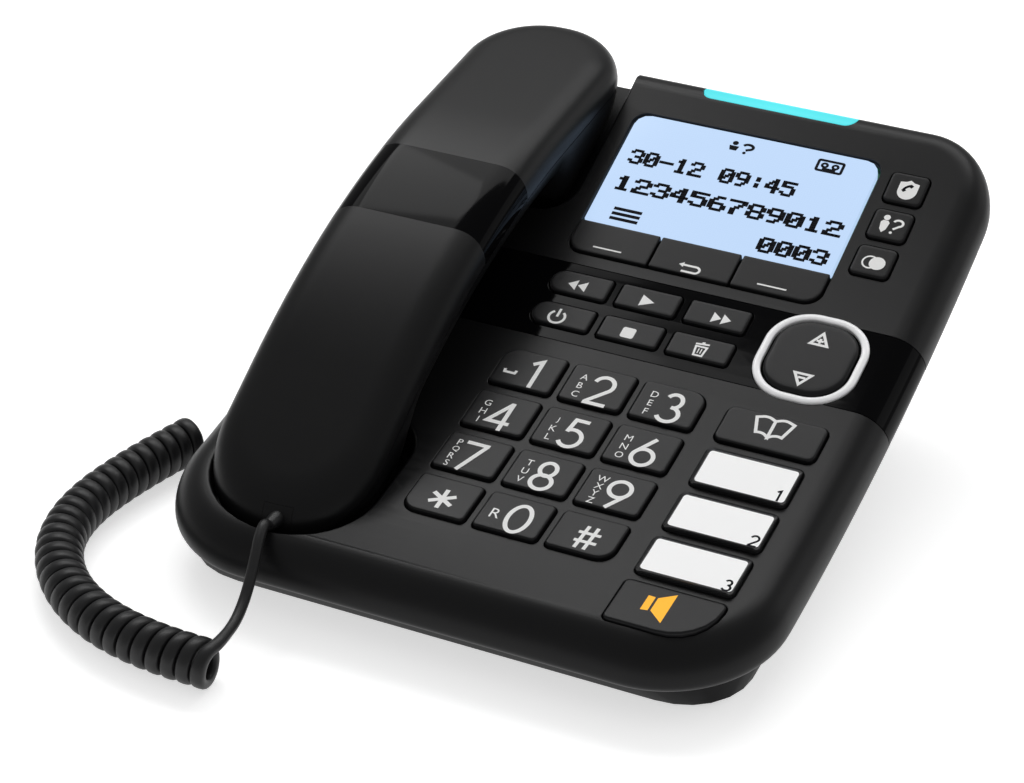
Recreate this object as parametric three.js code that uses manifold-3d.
/**
 * Corded desk telephone with a built-in answering machine, in millimetres with +Z up.
 *
 * The base is a wedge with an arched key face. All places on that face are given by x and by the arc
 * length s from the front rim. The origin lies on the desk, under the middle of the base.
 */
import * as THREE from 'three';
import { mergeVertices } from 'three/addons/utils/BufferGeometryUtils.js';
import Module from 'manifold-3d';

// Base: plan, arched face and edge rolls
const BASE_WIDTH = 173;
const FRONT_CORNER_RADIUS = 33;
const REAR_CORNER_RADIUS = 23;
const ARC_RADIUS = 525;
const ARC_START_ANGLE = THREE.MathUtils.degToRad(5.23);
const ARC_START_Y = 4.5;
const FRONT_FACE_HEIGHT = 23.1;
const SLAB_THICKNESS = 13.65;
const ROLL_WIDTH = 9.5;
const ROLL_DROP = 10;
const SEAM_INSET = 3.8;
const WALL = 2.2;

// Fits
const GAP = 0.3;
const SLIDE_CLEARANCE = 0.35;
const OVERRUN = 5;
const MERGE_DISTANCE = 0.0005;
const MIN_RADIUS_SHARE = 0.15;

// Keys on the right: loudspeaker, memory and phonebook
const LOUDSPEAKER_KEY_RIGHT = 73;
const LOUDSPEAKER_KEY_FRONT_S = 3.6;
const LOUDSPEAKER_KEY_DEPTH = 15.8;
const LOUDSPEAKER_KEY_REAR_S = LOUDSPEAKER_KEY_FRONT_S + LOUDSPEAKER_KEY_DEPTH;
const LOUDSPEAKER_KEY_RADIUS = 1.6;
const LOUDSPEAKER_KEY_CORNER_RADIUS = 13;
const LOUDSPEAKER_KEY_RISE = 0.8;
const RIGHT_KEY_SPACE = 3;
const MEMORY_KEYS = 3;
const MEMORY_KEY_LEFT = 46.2;
const MEMORY_KEY_WIDTH = 26.6;
const MEMORY_KEY_DEPTH = 14.4;
const MEMORY_KEY_SPACE = 3.2;
const MEMORY_KEY_FRONT_S = LOUDSPEAKER_KEY_REAR_S + RIGHT_KEY_SPACE;
const MEMORY_KEY_PITCH_S = MEMORY_KEY_DEPTH + MEMORY_KEY_SPACE;
const MEMORY_KEY_RADIUS = 1.6;
const MEMORY_KEY_RISE = 1.8;
const MEMORY_KEY_BEVEL = 0.95;
const PHONEBOOK_KEY_LEFT = 45.7;
const PHONEBOOK_KEY_RIGHT = 73.7;
const PHONEBOOK_KEY_FRONT_S = MEMORY_KEY_FRONT_S + MEMORY_KEYS * MEMORY_KEY_PITCH_S;
const PHONEBOOK_KEY_DEPTH = 13;
const PHONEBOOK_KEY_RADIUS = 2.2;

// Number keys
const NUMBER_KEY_LEFT = -20.25;
const NUMBER_KEY_WIDTH = 18.07;
const NUMBER_KEY_DEPTH = 14.12;
const NUMBER_KEY_SPACE_X = 2.51;
const NUMBER_KEY_SPACE_S = 3.43;
const NUMBER_BLOCK_SETBACK = 3.7;
const NUMBER_KEY_FRONT_S = LOUDSPEAKER_KEY_REAR_S + NUMBER_BLOCK_SETBACK;
const NUMBER_KEY_PITCH_X = NUMBER_KEY_WIDTH + NUMBER_KEY_SPACE_X;
const NUMBER_KEY_PITCH_S = NUMBER_KEY_DEPTH + NUMBER_KEY_SPACE_S;
const NUMBER_KEY_RADIUS = 1.4;
const NUMBER_BLOCK_RADIUS = 4.4;
const KEY_RISE = 1.2;
const KEY_BEVEL = 0.6;
const KEY_TRAVEL = 1.1;
const KEY_FLANGE = 1;
const KEY_FLANGE_THICKNESS = 1.2;
const KEY_STEM_HALF_WIDTH = 3;
const KEY_STEM_MIN_LENGTH = 0.4;

// Gloss band with the answering machine keys and the navigation ring
const BAND_SPACE = 8.8;
const BAND_DEPTH = 28.5;
const BAND_FRONT_S = PHONEBOOK_KEY_FRONT_S + PHONEBOOK_KEY_DEPTH + BAND_SPACE;
const BAND_REAR_S = BAND_FRONT_S + BAND_DEPTH;
const BAND_THICKNESS = 1.2;
const BAND_SKIRT = 10.5;
const PLAY_KEY_WIDTH = 17.8;
const PLAY_KEY_DEPTH = 8.34;
const PLAY_ROW_SETBACK = 4.35;
const PLAY_ROW_SPACE = 4.11;
const PLAY_ROW_FRONT_S = BAND_FRONT_S + PLAY_ROW_SETBACK;
const PLAY_ROW_PITCH_S = PLAY_KEY_DEPTH + PLAY_ROW_SPACE;
const PLAY_KEY_RADIUS = 1;
const PLAY_KEY_END_RADIUS = 4;
const PLAY_KEY_RISE = 0.9;
const RING_X = 59.5;
const RING_SETBACK = 14.3;
const RING_S = BAND_FRONT_S + RING_SETBACK;
const RING_HALF_WIDTH = 14.6;
const RING_HALF_DEPTH = 15.9;
const RING_RADIUS = 12.3;
const RING_BAND = 3;
const RING_RISE = 0.9;
const RING_SEAT = 0.5;
const RING_BEVEL = 0.5;
const ROCKER_RISE = 1.1;
const ROCKER_RIM = 1;
const ROCKER_TILT_ROOM = 1.1;
const ROCKER_FLANGE = 1.2;

// Soft keys, display and side keys
const SOFT_KEY_LEFT = -21.4;
const SOFT_KEY_RIGHT = 53.8;
const SOFT_KEY_SETBACK = 4.7;
const SOFT_KEY_DEPTH = 11.4;
const SOFT_KEY_FRONT_S = BAND_REAR_S + SOFT_KEY_SETBACK;
const SOFT_KEY_REAR_S = SOFT_KEY_FRONT_S + SOFT_KEY_DEPTH;
const DISPLAY_LEFT = -21;
const DISPLAY_RIGHT = 53.4;
const DISPLAY_SPACE = 0.9;
const DISPLAY_DEPTH = 41.7;
const DISPLAY_FRONT_S = SOFT_KEY_REAR_S + DISPLAY_SPACE;
const DISPLAY_REAR_S = DISPLAY_FRONT_S + DISPLAY_DEPTH;
const DISPLAY_REAR_RADIUS = 4.2;
const DISPLAY_FRONT_RADIUS = 0.6;
const DISPLAY_RISE = 0.1;
const WINDOW_THICKNESS = 2.1;
const MODULE_LIP = 1.2;
const MODULE_THICKNESS = 3.6;
const MODULE_BOARD_RIGHT = 72;
const MODULE_BOARD_THICKNESS = 1.6;
const SOFT_KEY_SPLIT_1 = 3.6;
const SOFT_KEY_SPLIT_2 = 28.1;
const SOFT_KEY_SPLIT_WIDTH = 0.6;
const SOFT_KEY_END_RADIUS = 5;
const SOFT_KEY_RADIUS = 0.5;
const SOFT_KEY_RISE = 0.8;
const SOFT_KEY_BEVEL = 0.35;
const SIDE_KEY_LEFT = 57.94;
const SIDE_KEY_WIDTH = 11.03;
const SIDE_KEY_DEPTH = 10.6;
const SIDE_KEY_SETBACK = 1.5;
const SIDE_KEY_SPACE = 3;
const SIDE_KEY_FRONT_S = DISPLAY_FRONT_S + SIDE_KEY_SETBACK;
const SIDE_KEY_PITCH_S = SIDE_KEY_DEPTH + SIDE_KEY_SPACE;
const SIDE_KEY_RADIUS = 1.6;
const SIDE_KEY_RISE = 0.9;

// Rear edge and light bar
const REAR_MARGIN = 17.723;
const BASE_DEPTH = yAtS(DISPLAY_REAR_S) + REAR_MARGIN;
const LIGHT_BAR_LEFT = -5.9;
const LIGHT_BAR_RIGHT = 41;
const LIGHT_BAR_DEPTH = 8.2;
const LIGHT_BAR_FRONT_Y = BASE_DEPTH - LIGHT_BAR_DEPTH;
const LIGHT_BAR_DROP = 8.6;
const LIGHT_BAR_THICKNESS = 1.2;

// Lower housing, its register tongue and its feet
const FOOT_LINE_HEIGHT = 1.5;
const FOOT_LINE_BEVEL = 1.2;
const FOOT_FRONT_Y = 8.9;
const FOOT_REAR_OVERHANG = 37;
const FOOT_REAR_Y = BASE_DEPTH - FOOT_REAR_OVERHANG;
const FOOT_FRONT_HALF_WIDTH = 84;
const FOOT_REAR_HALF_WIDTH = 48;
const FOOT_CORNER_RADIUS = 24;
const LOWER_WALL = 2.4;
const FLOOR_THICKNESS = 2.2;
const TONGUE_THICKNESS = 1.2;
const TONGUE_HEIGHT = 1.7;
const TONGUE_ROOT = 2;
const PAD_RADIUS = 6;
const PAD_HEIGHT = 2.2;
const PAD_FRONT_X = 62;
const PAD_FRONT_Y = 24;
const PAD_REAR_X = 39;
const PAD_REAR_INSET = 15;
const PAD_REAR_Y = FOOT_REAR_Y - PAD_REAR_INSET;
const BOARD_POST_RADIUS = 3.5;
const BOARD_POST_LEFT_X = -12;
const BOARD_POST_RIGHT_X = 43;
const BOARD_POST_FRONT_Y = 32;
const BOARD_POST_REAR_Y = 133;

// Wells that take the handset
const HANDSET_X = -52.3;
const WELL_HALF_WIDTH = 24.9;
const WELL_SHIFT_X = 0.2;
const WELL_DEPTH = 10.9;
const WELL_EDGE_BEVEL = 1.6;
const MOUTH_WELL_FRONT_Y = 6.6;
const MOUTH_WELL_REAR_Y = 60;
const MOUTH_WELL_LEFT_RADIUS = 28.6;
const MOUTH_WELL_RIGHT_RADIUS = 21;
const MOUTH_WELL_REAR_RADIUS = 13.5;
const EAR_WELL_DEPTH_Y = 56;
const EAR_WELL_FRONT_Y = BASE_DEPTH - EAR_WELL_DEPTH_Y;
const EAR_WELL_FRONT_RADIUS = 10;
const EAR_WELL_REAR_RADIUS = 4;

// Boards inside
const BOARD_LEFT = -24;
const BOARD_RIGHT = 77;
const BOARD_FRONT_S = 7;
const BOARD_SETBACK = 3.5;
const BOARD_LENGTH = DISPLAY_FRONT_S - BOARD_SETBACK - BOARD_FRONT_S;
const BOARD_CENTRE_S = BOARD_FRONT_S + BOARD_LENGTH / 2;
const BOARD_RADIUS = 2;
const BOARD_CORNER_RADIUS = 24;
const BOARD_THICKNESS = 1.6;
const MAT_THICKNESS = 1.2;
const MAT_MARGIN = 1.5;
const MAT_CLEARANCE = 0.35;

// Loudspeaker of the base
const SPEAKER_X = -20;
const SPEAKER_Y = 100;
const SPEAKER_RADIUS = 25;
const SPEAKER_RIM = 3;
const SPEAKER_DEPTH = 14;
const SPEAKER_MAGNET_RADIUS = 13;
const SPEAKER_SLOTS = 5;
const SPEAKER_SLOT_WIDTH = 3;
const SPEAKER_SLOT_PITCH = 8;
const SPEAKER_SLOT_LENGTH = 30;

// Sockets in the lower housing
const SOCKET_WIDTH = 13;
const SOCKET_HEIGHT = 12;
const SOCKET_LENGTH = 15;
const SOCKET_MOUTH_DEPTH = 12;
const LINE_SOCKET_X = 18;
const LINE_MOUTH_WIDTH = 9.8;
const LINE_MOUTH_HEIGHT = 6.8;
const POWER_SOCKET_X = -18;
const POWER_MOUTH_RADIUS = 3.3;
const JACK_Y = 78;
const JACK_MOUTH_WIDTH = 8.3;
const JACK_MOUTH_HEIGHT = 7.1;

// Hook switch under the ear well
const HOOK_SETBACK = 22;
const HOOK_Y = EAR_WELL_FRONT_Y + HOOK_SETBACK;
const HOOK_HALF_WIDTH = 5;
const HOOK_HALF_DEPTH = 3.5;
const HOOK_RADIUS = 1;
const HOOK_TRAVEL = 3;
const HOOK_FLANGE = 1.5;
const HOOK_FLANGE_THICKNESS = 1.2;
const HOOK_STEM = 2;
const HOOK_TOP_RECESS = 0.15;
const SWITCH_HALF_WIDTH = 6;
const SWITCH_HALF_DEPTH = 5;
const SWITCH_HEIGHT = 8;
const SWITCH_POST_RADIUS = 5;

// Handset
const HANDSET_HALF_WIDTH = 23.8;
const HANDSET_FRONT_Y = 11;
const HANDSET_REAR_OVERHANG = 1.5;
const HANDSET_REAR_Y = BASE_DEPTH + HANDSET_REAR_OVERHANG;
const HANDSET_MOUTH_RADIUS = 22.5;
const HANDSET_EAR_RADIUS = 23;
const HANDSET_BEND_START_Y = 50;
const HANDSET_BEND_START_HEIGHT = 50.2;
const HANDSET_BEND_RADIUS = 231;
const HANDSET_MOUTH_SLOPE = THREE.MathUtils.degToRad(31);
const HANDSET_EAR_SLOPE = THREE.MathUtils.degToRad(6);
const HANDSET_ROLL_WIDTH = 10;
const HANDSET_PARTING_DROP = 8.8;
const HANDSET_ROLL_POWER = 2.3;
const HANDSET_SINK = 10.6;
const GRIP_THICKNESS = 19;
const CUP_WIDTH_Y = 35;
const MOUTH_CUP_RAMP = 12;
const EAR_CUP_RAMP = 9.5;
const GRIP_OVERHANG = 1.5;
const MOUTH_CUP_END_Y = HANDSET_FRONT_Y + CUP_WIDTH_Y;
const GRIP_START_Y = MOUTH_CUP_END_Y + MOUTH_CUP_RAMP;
const GRIP_END_Y = EAR_WELL_FRONT_Y + GRIP_OVERHANG;
const EAR_CUP_START_Y = GRIP_END_Y + EAR_CUP_RAMP;
const HANDSET_UNDER_ROLL = 6.5;
const HANDSET_WALL = 2;
const HANDSET_BAND_FRONT_Y = 95;
const HANDSET_BAND_REAR_Y = 121.5;
const HANDSET_BAND_THICKNESS = 1;
const RECEIVER_INSET = 24.5;
const RECEIVER_Y = HANDSET_REAR_Y - RECEIVER_INSET;
const RECEIVER_RADIUS = 15;
const RECEIVER_THICKNESS = 7;
const RECEIVER_SLOT_WIDTH = 1.8;
const RECEIVER_SLOT_LENGTH = 14;
const RECEIVER_SLOT_PITCH = 4.5;
const RECEIVER_SLOTS = 5;
const MICROPHONE_Y = 38.5;
const MICROPHONE_RADIUS = 5;
const MICROPHONE_THICKNESS = 5;
const MICROPHONE_SLOTS = 3;
const HANDSET_SOCKET_X = -48.5;
const HANDSET_SOCKET_Y = 12;
const HANDSET_SOCKET_Z = 23;
const HANDSET_SOCKET_TILT = THREE.MathUtils.degToRad(4);
const HANDSET_SOCKET_INSET = 6.8;
const HANDSET_SOCKET_LENGTH = 12;
const HANDSET_SOCKET_WIDTH = 11;
const HANDSET_SOCKET_HEIGHT = 8;

// Plugs and cord
const PLUG_WIDTH = 7.7;
const PLUG_HEIGHT = 6.5;
const PLUG_LENGTH = 12;
const PLUG_RADIUS = 0.6;
const PLUG_BOOT_LENGTH = 3;
const PLUG_SEAT = 1;
const PLUG_TAIL = PLUG_SEAT + PLUG_BOOT_LENGTH + GAP;
const CORD_DIAMETER = 3;
const COIL_DIAMETER = 13.4;
const COIL_FLOOR_GAP = 0.15;
const COIL_TURNS = 31.5;
const COIL_STEPS_PER_TURN = 8;
const COIL_SIDES = 5;
const LEAD_SIDES = 8;
const LEAD_STEP = 7;
const COIL_ROUTE = [
  [-42.9, -31.4], [-58.4, -31], [-71.3, -29], [-82, -25.4], [-92, -19.6], [-100.5, -11.6],
  [-106.6, -2.2], [-109.9, 8.4], [-110.6, 20], [-109.2, 31.5], [-107, 42], [-104.6, 51], [-102.3, 59],
];
const HANDSET_LEAD_ROUTE = [
  [-48.4, 6.2, 24.9], [-47.6, 2.2, 23.8], [-46.5, -2, 21.1], [-45.4, -6.6, 17.7], [-44.3, -12.4, 14.1],
  [-43.1, -19.5, 12.2],
];
const BASE_LEAD_ROUTE = [
  [-93.2, 57.9, 2.3], [-88.4, 62.5, 4.6], [-86.6, 69.5, 7.6], [-85.4, 75.6, 9.5],
];

const wasm = await Module();
wasm.setup();

const PLASTIC = { color: 0x1d1e20, roughness: 0.5, metalness: 0 };
const KEY_PLASTIC = { color: 0x26282b, roughness: 0.55, metalness: 0 };
const GLOSS_PLASTIC = { color: 0x060607, roughness: 0.1, metalness: 0 };
const RUBBER = { color: 0x151515, roughness: 0.8, metalness: 0 };
const WHITE_PLASTIC = { color: 0xe8eaec, roughness: 0.35, metalness: 0 };
const DISPLAY_GLOW = { color: 0xc0dafb, roughness: 0.25, metalness: 0 };
const CYAN_PLASTIC = { color: 0x35d9e6, roughness: 0.3, metalness: 0 };
const BOARD_GREEN = { color: 0x1f5a37, roughness: 0.5, metalness: 0 };
const STEEL = { color: 0x9a9da1, roughness: 0.35, metalness: 1 };

const HALF_WIDTH = BASE_WIDTH / 2;
const HALF_ROUND = Math.PI / 2;

/** Arch angle at a plan distance y from the front rim. */
function angleAtY(y) {
  return Math.asin(Math.sin(ARC_START_ANGLE) + (y - ARC_START_Y) / ARC_RADIUS);
}

/** Height of the arched face at y. */
function faceHeight(y) {
  return FRONT_FACE_HEIGHT + ARC_RADIUS * (Math.cos(ARC_START_ANGLE) - Math.cos(angleAtY(y)));
}

/** Arch angle after an arc length s. */
function angleAtS(s) {
  return ARC_START_ANGLE + s / ARC_RADIUS;
}

/** Plan distance y after an arc length s. */
function yAtS(s) {
  return ARC_START_Y + ARC_RADIUS * (Math.sin(angleAtS(s)) - Math.sin(ARC_START_ANGLE));
}

/** Placement on the face: X stays, local Y runs up the arch and local Z is its outward normal. */
function faceFrame(x, s) {
  const y = yAtS(s);
  const turn = new THREE.Matrix4().makeRotationX(angleAtS(s));
  return turn.setPosition(x, y, faceHeight(y));
}

/** Even steps from a to b, both ends left out. */
function between(a, b, count) {
  return Array.from({ length: count }, (_, i) => a + ((b - a) * (i + 1)) / (count + 1));
}

/** A box in plan. */
function plan(left, right, front, rear) {
  return { left, right, front, rear };
}

/** A box in plan about a centre. */
function planAbout(x, y, halfWidth, halfDepth) {
  return plan(x - halfWidth, x + halfWidth, y - halfDepth, y + halfDepth);
}

/** One side of a rounded box, from its front corner to its rear corner. */
function sidePoints(edge, sign, box, frontRadius, rearRadius, cornerSteps, stations) {
  const points = [];
  for (let k = 0; k <= cornerSteps; k += 1) {
    const turn = (HALF_ROUND * k) / cornerSteps;
    const x = edge - sign * frontRadius * (1 - Math.sin(turn));
    points.push([x, box.front + frontRadius * (1 - Math.cos(turn))]);
  }
  for (const y of stations) {
    points.push([edge, y]);
  }
  for (let k = 0; k <= cornerSteps; k += 1) {
    const turn = (HALF_ROUND * k) / cornerSteps;
    const x = edge - sign * rearRadius * (1 - Math.cos(turn));
    points.push([x, box.rear - rearRadius * (1 - Math.sin(turn))]);
  }
  return points;
}

/**
 * Rounded box outline, anticlockwise: right side front to rear, then left side rear to front.
 * Radii are [front right, rear right, rear left, front left]; stations are extra levels on the sides.
 */
function outline(box, radii, inset = 0, cornerSteps = 2, stations = []) {
  const drawn = plan(box.left + inset, box.right - inset, box.front + inset, box.rear - inset);
  const [fr, rr, rl, fl] = radii.map((radius) => Math.max(radius - inset, radius * MIN_RADIUS_SHARE));
  const right = sidePoints(drawn.right, 1, drawn, fr, rr, cornerSteps, stations);
  const left = sidePoints(drawn.left, -1, drawn, fl, rl, cornerSteps, stations);
  return [...right, ...left.reverse()];
}

/** Four equal corner radii. */
function even(radius) {
  return [radius, radius, radius, radius];
}

/** Outline lifted to a height that is a number or a function of y. */
function lift(points, height) {
  const heightAt = typeof height === 'function' ? height : () => height;
  return points.map(([x, y]) => [x, y, heightAt(y)]);
}

/** Closed skin through rings of equal count, listed from the bottom up. */
function loft(rings) {
  const count = rings[0].length;
  const index = [];
  for (let k = 0; k + 1 < rings.length; k += 1) {
    for (let i = 0; i < count; i += 1) {
      const a = k * count + i;
      const b = k * count + ((i + 1) % count);
      index.push(a, b, b + count, a, b + count, a + count);
    }
  }
  const top = (rings.length - 1) * count;
  for (let i = 0; i + 1 < count / 2; i += 1) {
    const mirror = count - 1 - i;
    index.push(i, mirror - 1, i + 1, i, mirror, mirror - 1);
    index.push(top + i, top + i + 1, top + mirror - 1, top + i, top + mirror - 1, top + mirror);
  }
  const geometry = new THREE.BufferGeometry();
  geometry.setAttribute('position', new THREE.Float32BufferAttribute(rings.flat(2), 3));
  geometry.setIndex(index);
  return geometry;
}

/** Manifold solid of a closed geometry, after an optional placement. */
function solid(geometry, placement = new THREE.Matrix4()) {
  const bare = geometry.clone().applyMatrix4(placement);
  bare.deleteAttribute('normal');
  bare.deleteAttribute('uv');
  const merged = mergeVertices(bare, MERGE_DISTANCE);
  const vertProperties = new Float32Array(merged.attributes.position.array);
  const triVerts = new Uint32Array(merged.index.array);
  return new wasm.Manifold(new wasm.Mesh({ numProp: 3, vertProperties, triVerts }));
}

/** Geometry of a manifold solid. */
function geometryOf(body) {
  const { vertProperties, triVerts } = body.getMesh();
  const geometry = new THREE.BufferGeometry();
  geometry.setAttribute('position', new THREE.BufferAttribute(new Float32Array(vertProperties), 3));
  geometry.setIndex(new THREE.BufferAttribute(new Uint32Array(triVerts), 1));
  return geometry;
}

/** A body less each of the cutters. */
function cut(body, ...cutters) {
  return cutters.reduce((rest, cutter) => rest.subtract(cutter), body);
}

/** A body joined with each of the others. */
function join(body, ...others) {
  return others.reduce((whole, other) => whole.add(other), body);
}

/** Straight prism over a rounded box, between two heights. */
function prism(box, radii, bottom, top, cornerSteps = 2) {
  const points = outline(box, radii, 0, cornerSteps);
  return loft([lift(points, bottom), lift(points, top)]);
}

/** Plain block between two corners. */
function block(box, bottom, top) {
  const geometry = new THREE.BoxGeometry(box.right - box.left, box.rear - box.front, top - bottom);
  return geometry.translate((box.left + box.right) / 2, (box.front + box.rear) / 2, (bottom + top) / 2);
}

/** Upright disc. */
function disc(x, y, radius, bottom, top, segments = 24) {
  const geometry = new THREE.CylinderGeometry(radius, radius, top - bottom, segments);
  return geometry.rotateX(HALF_ROUND).translate(x, y, (bottom + top) / 2);
}

/** Named mesh with its own material and flat facets. */
function piece(name, geometry, look) {
  const mesh = new THREE.Mesh(geometry, new THREE.MeshStandardMaterial({ ...look, flatShading: true }));
  mesh.name = name;
  return mesh;
}

/** Named mesh whose geometry is drawn in a frame of its own. */
function placedPiece(name, geometry, look, frame) {
  const mesh = piece(name, geometry, look);
  frame.decompose(mesh.position, mesh.quaternion, mesh.scale);
  return mesh;
}

const BASE_PLAN = plan(-HALF_WIDTH, HALF_WIDTH, 0, BASE_DEPTH);
const BASE_RADII = [FRONT_CORNER_RADIUS, REAR_CORNER_RADIUS, REAR_CORNER_RADIUS, FRONT_CORNER_RADIUS];
const BASE_STATIONS = between(FRONT_CORNER_RADIUS, BASE_DEPTH - REAR_CORNER_RADIUS, 8);
const BASE_CORNER_STEPS = 7;
const ROLL_STEPS = 5;
const UNDER_ROLL_STEPS = 2;

/** Outline of the base in plan, drawn in by an inset. */
function baseOutline(inset) {
  return outline(BASE_PLAN, BASE_RADII, inset, BASE_CORNER_STEPS, BASE_STATIONS);
}

/** Pairs of inset and drop round the edge of the slab, sunk by a skin thickness, bottom first. */
function slabProfile(skin, skirt) {
  const profile = [[skin + SEAM_INSET, SLAB_THICKNESS + skirt]];
  for (let k = skirt > 0 ? 0 : 1; k < UNDER_ROLL_STEPS; k += 1) {
    const turn = (HALF_ROUND * k) / UNDER_ROLL_STEPS;
    const drop = ROLL_DROP + (SLAB_THICKNESS - ROLL_DROP) * Math.cos(turn);
    profile.push([skin + SEAM_INSET * (1 - Math.sin(turn)), drop]);
  }
  for (let k = 0; k <= ROLL_STEPS; k += 1) {
    const turn = (HALF_ROUND * k) / ROLL_STEPS;
    const inset = skin + (ROLL_WIDTH - skin) * (1 - Math.cos(turn));
    profile.push([inset, skin + (ROLL_DROP - skin) * (1 - Math.sin(turn))]);
  }
  return profile;
}

/** The arched slab, sunk by a skin thickness and lengthened downwards by a skirt. */
function slabBody(skin, skirt = 0) {
  const rings = slabProfile(skin, skirt).map(([inset, drop]) =>
    lift(baseOutline(inset), (y) => faceHeight(y) - drop));
  return solid(loft(rings));
}

const MOUTH_WELL = plan(
  HANDSET_X + WELL_SHIFT_X - WELL_HALF_WIDTH,
  HANDSET_X + WELL_SHIFT_X + WELL_HALF_WIDTH,
  MOUTH_WELL_FRONT_Y,
  MOUTH_WELL_REAR_Y,
);
const MOUTH_WELL_RADII = [
  MOUTH_WELL_RIGHT_RADIUS, MOUTH_WELL_REAR_RADIUS, MOUTH_WELL_REAR_RADIUS, MOUTH_WELL_LEFT_RADIUS,
];
const EAR_WELL = plan(MOUTH_WELL.left, MOUTH_WELL.right, EAR_WELL_FRONT_Y, BASE_DEPTH + OVERRUN);
const EAR_WELL_RADII = [
  EAR_WELL_FRONT_RADIUS, EAR_WELL_REAR_RADIUS, EAR_WELL_REAR_RADIUS, EAR_WELL_FRONT_RADIUS,
];

/** A handset well as a cutter, grown by a wall on its sides and below its floor. */
function wellBody(box, radii, grow) {
  const frontReach = Math.max(radii[0], radii[3]);
  const rearReach = Math.max(radii[1], radii[2]);
  const stations = between(box.front + frontReach, box.rear - rearReach, 3);
  const ring = (inset, drop) =>
    lift(outline(box, radii, inset - grow, 4, stations), (y) => faceHeight(y) - drop);
  const floor = WELL_DEPTH + grow;
  return solid(loft([ring(WELL_EDGE_BEVEL, floor), ring(0, floor - WELL_EDGE_BEVEL), ring(0, -OVERRUN)]));
}

const MAT_DEPTH = WALL + GAP + KEY_FLANGE_THICKNESS + KEY_TRAVEL + MAT_CLEARANCE;
const FLANGE_TOP = -WALL - GAP;
const FLANGE_BOTTOM = FLANGE_TOP - KEY_FLANGE_THICKNESS;
const MODULE_BOARD_TOP = FLANGE_TOP - MODULE_THICKNESS;

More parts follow.
